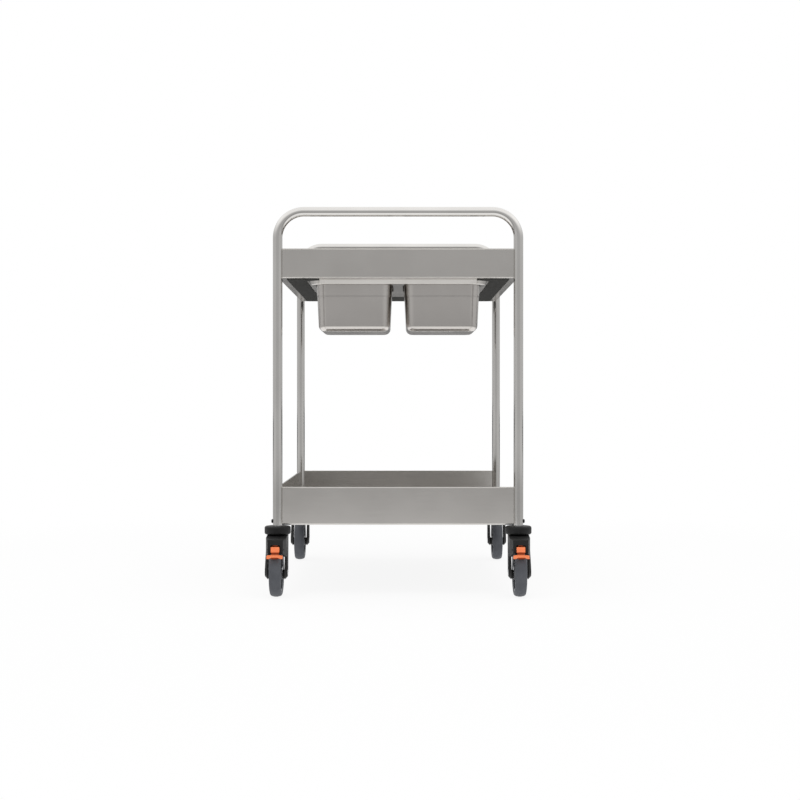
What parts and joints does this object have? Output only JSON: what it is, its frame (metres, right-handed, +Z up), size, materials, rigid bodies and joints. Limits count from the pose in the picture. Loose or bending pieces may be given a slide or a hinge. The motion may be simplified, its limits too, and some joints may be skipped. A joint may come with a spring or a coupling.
{
  "type": "tray return trolley",
  "caption": "Stainless trolley with two bent-tube hoops, two walled shelves, lift-out pans hung in the upper shelf, swivel casters with bumper discs, and brakes at the front.",
  "frame": {"origin": "on the floor under the middle of the overall box", "axes": "+Z up, +X to the right seen from the braked front, -Y towards the front"},
  "size_m": [0.695, 0.9804, 1.0098],
  "materials": {
    "stainless_sheet": "satin stainless sheet",
    "stainless_tube": "polished stainless tube",
    "stainless_pan": "pressed stainless, soft sheen",
    "sound_mat": "dark bituminous mat, faint sheen",
    "black_plastic": "moulded black plastic",
    "orange_plastic": "moulded orange plastic",
    "deep_orange_plastic": "moulded deep orange plastic",
    "grey_tyre": "grey non-marking rubber",
    "grey_plastic": "moulded grey plastic",
    "zinc_steel": "plated steel",
    "black_steel": "blackened steel"
  },
  "bodies": {
    "frame": {"front_hoop": "stainless_tube", "rear_hoop": "stainless_tube", "upper_shelf": "stainless_sheet", "lower_shelf": "stainless_sheet", "upper_mat": "sound_mat", "lower_mat": "sound_mat", "stem_lock_screws": "black_steel", "kingpin_nuts": "zinc_steel", "front_left_bumper": "black_plastic", "front_left_stem": "zinc_steel", "front_right_bumper": "black_plastic", "front_right_stem": "zinc_steel", "rear_left_bumper": "black_plastic", "rear_left_stem": "zinc_steel", "rear_right_bumper": "black_plastic", "rear_right_stem": "zinc_steel"},
    "left_pan": {"left_pan": "stainless_pan"},
    "right_pan": {"right_pan": "stainless_pan"},
    "front_left_swivel": {"front_left_fork": "black_plastic", "front_left_swivel_bearing": "zinc_steel", "front_left_axle": "zinc_steel", "front_left_axle_nut": "zinc_steel", "front_left_axle_spacers": "black_plastic", "front_left_pedal_pin": "zinc_steel", "front_left_detent_spring": "deep_orange_plastic"},
    "front_left_wheel": {"front_left_tyre": "grey_tyre", "front_left_wheel_core": "grey_plastic", "front_left_wheel_bearings": "zinc_steel"},
    "front_left_pedal": {"front_left_brake_lever": "deep_orange_plastic", "front_left_brake_pedal": "orange_plastic"},
    "front_right_swivel": {"front_right_fork": "black_plastic", "front_right_swivel_bearing": "zinc_steel", "front_right_axle": "zinc_steel", "front_right_axle_nut": "zinc_steel", "front_right_axle_spacers": "black_plastic", "front_right_pedal_pin": "zinc_steel", "front_right_detent_spring": "deep_orange_plastic"},
    "front_right_wheel": {"front_right_tyre": "grey_tyre", "front_right_wheel_core": "grey_plastic", "front_right_wheel_bearings": "zinc_steel"},
    "front_right_pedal": {"front_right_brake_lever": "deep_orange_plastic", "front_right_brake_pedal": "orange_plastic"},
    "rear_left_swivel": {"rear_left_fork": "black_plastic", "rear_left_swivel_bearing": "zinc_steel", "rear_left_axle": "zinc_steel", "rear_left_axle_nut": "zinc_steel", "rear_left_axle_spacers": "black_plastic"},
    "rear_left_wheel": {"rear_left_tyre": "grey_tyre", "rear_left_wheel_core": "grey_plastic", "rear_left_wheel_bearings": "zinc_steel"},
    "rear_right_swivel": {"rear_right_fork": "black_plastic", "rear_right_swivel_bearing": "zinc_steel", "rear_right_axle": "zinc_steel", "rear_right_axle_nut": "zinc_steel", "rear_right_axle_spacers": "black_plastic"},
    "rear_right_wheel": {"rear_right_tyre": "grey_tyre", "rear_right_wheel_core": "grey_plastic", "rear_right_wheel_bearings": "zinc_steel"}
  },
  "joints": [
    {"name": "left_pan_lift", "type": "slide", "parent": "frame", "child": "left_pan", "axis": [0, 0, 1], "range_m": [0, 0.2]},
    {"name": "right_pan_lift", "type": "slide", "parent": "frame", "child": "right_pan", "axis": [0, 0, 1], "range_m": [0, 0.2]},
    {"name": "front_left_swivel_turn", "type": "hinge", "parent": "frame", "child": "front_left_swivel", "pos_m": [-0.3135, -0.39375, 0.15], "axis": [0, 0, 1], "continuous": true},
    {"name": "front_left_wheel_roll", "type": "hinge", "parent": "front_left_swivel", "child": "front_left_wheel", "pos_m": [-0.3135, -0.42775, 0.0625], "axis": [1, 0, 0], "continuous": true},
    {"name": "front_left_brake_press", "type": "hinge", "parent": "front_left_swivel", "child": "front_left_pedal", "pos_m": [-0.3135, -0.45962, 0.12505], "axis": [1, 0, 0], "range_deg": [0, 8]},
    {"name": "front_right_swivel_turn", "type": "hinge", "parent": "frame", "child": "front_right_swivel", "pos_m": [0.3135, -0.39375, 0.15], "axis": [0, 0, 1], "continuous": true},
    {"name": "front_right_wheel_roll", "type": "hinge", "parent": "front_right_swivel", "child": "front_right_wheel", "pos_m": [0.3135, -0.42775, 0.0625], "axis": [1, 0, 0], "continuous": true},
    {"name": "front_right_brake_press", "type": "hinge", "parent": "front_right_swivel", "child": "front_right_pedal", "pos_m": [0.3135, -0.45962, 0.12505], "axis": [1, 0, 0], "range_deg": [0, 8]},
    {"name": "rear_left_swivel_turn", "type": "hinge", "parent": "frame", "child": "rear_left_swivel", "pos_m": [-0.3135, 0.45625, 0.15], "axis": [0, 0, 1], "continuous": true},
    {"name": "rear_left_wheel_roll", "type": "hinge", "parent": "rear_left_swivel", "child": "rear_left_wheel", "pos_m": [-0.3135, 0.42225, 0.0625], "axis": [1, 0, 0], "continuous": true},
    {"name": "rear_right_swivel_turn", "type": "hinge", "parent": "frame", "child": "rear_right_swivel", "pos_m": [0.3135, 0.45625, 0.15], "axis": [0, 0, 1], "continuous": true},
    {"name": "rear_right_wheel_roll", "type": "hinge", "parent": "rear_right_swivel", "child": "rear_right_wheel", "pos_m": [0.3135, 0.42225, 0.0625], "axis": [1, 0, 0], "continuous": true}
  ]
}
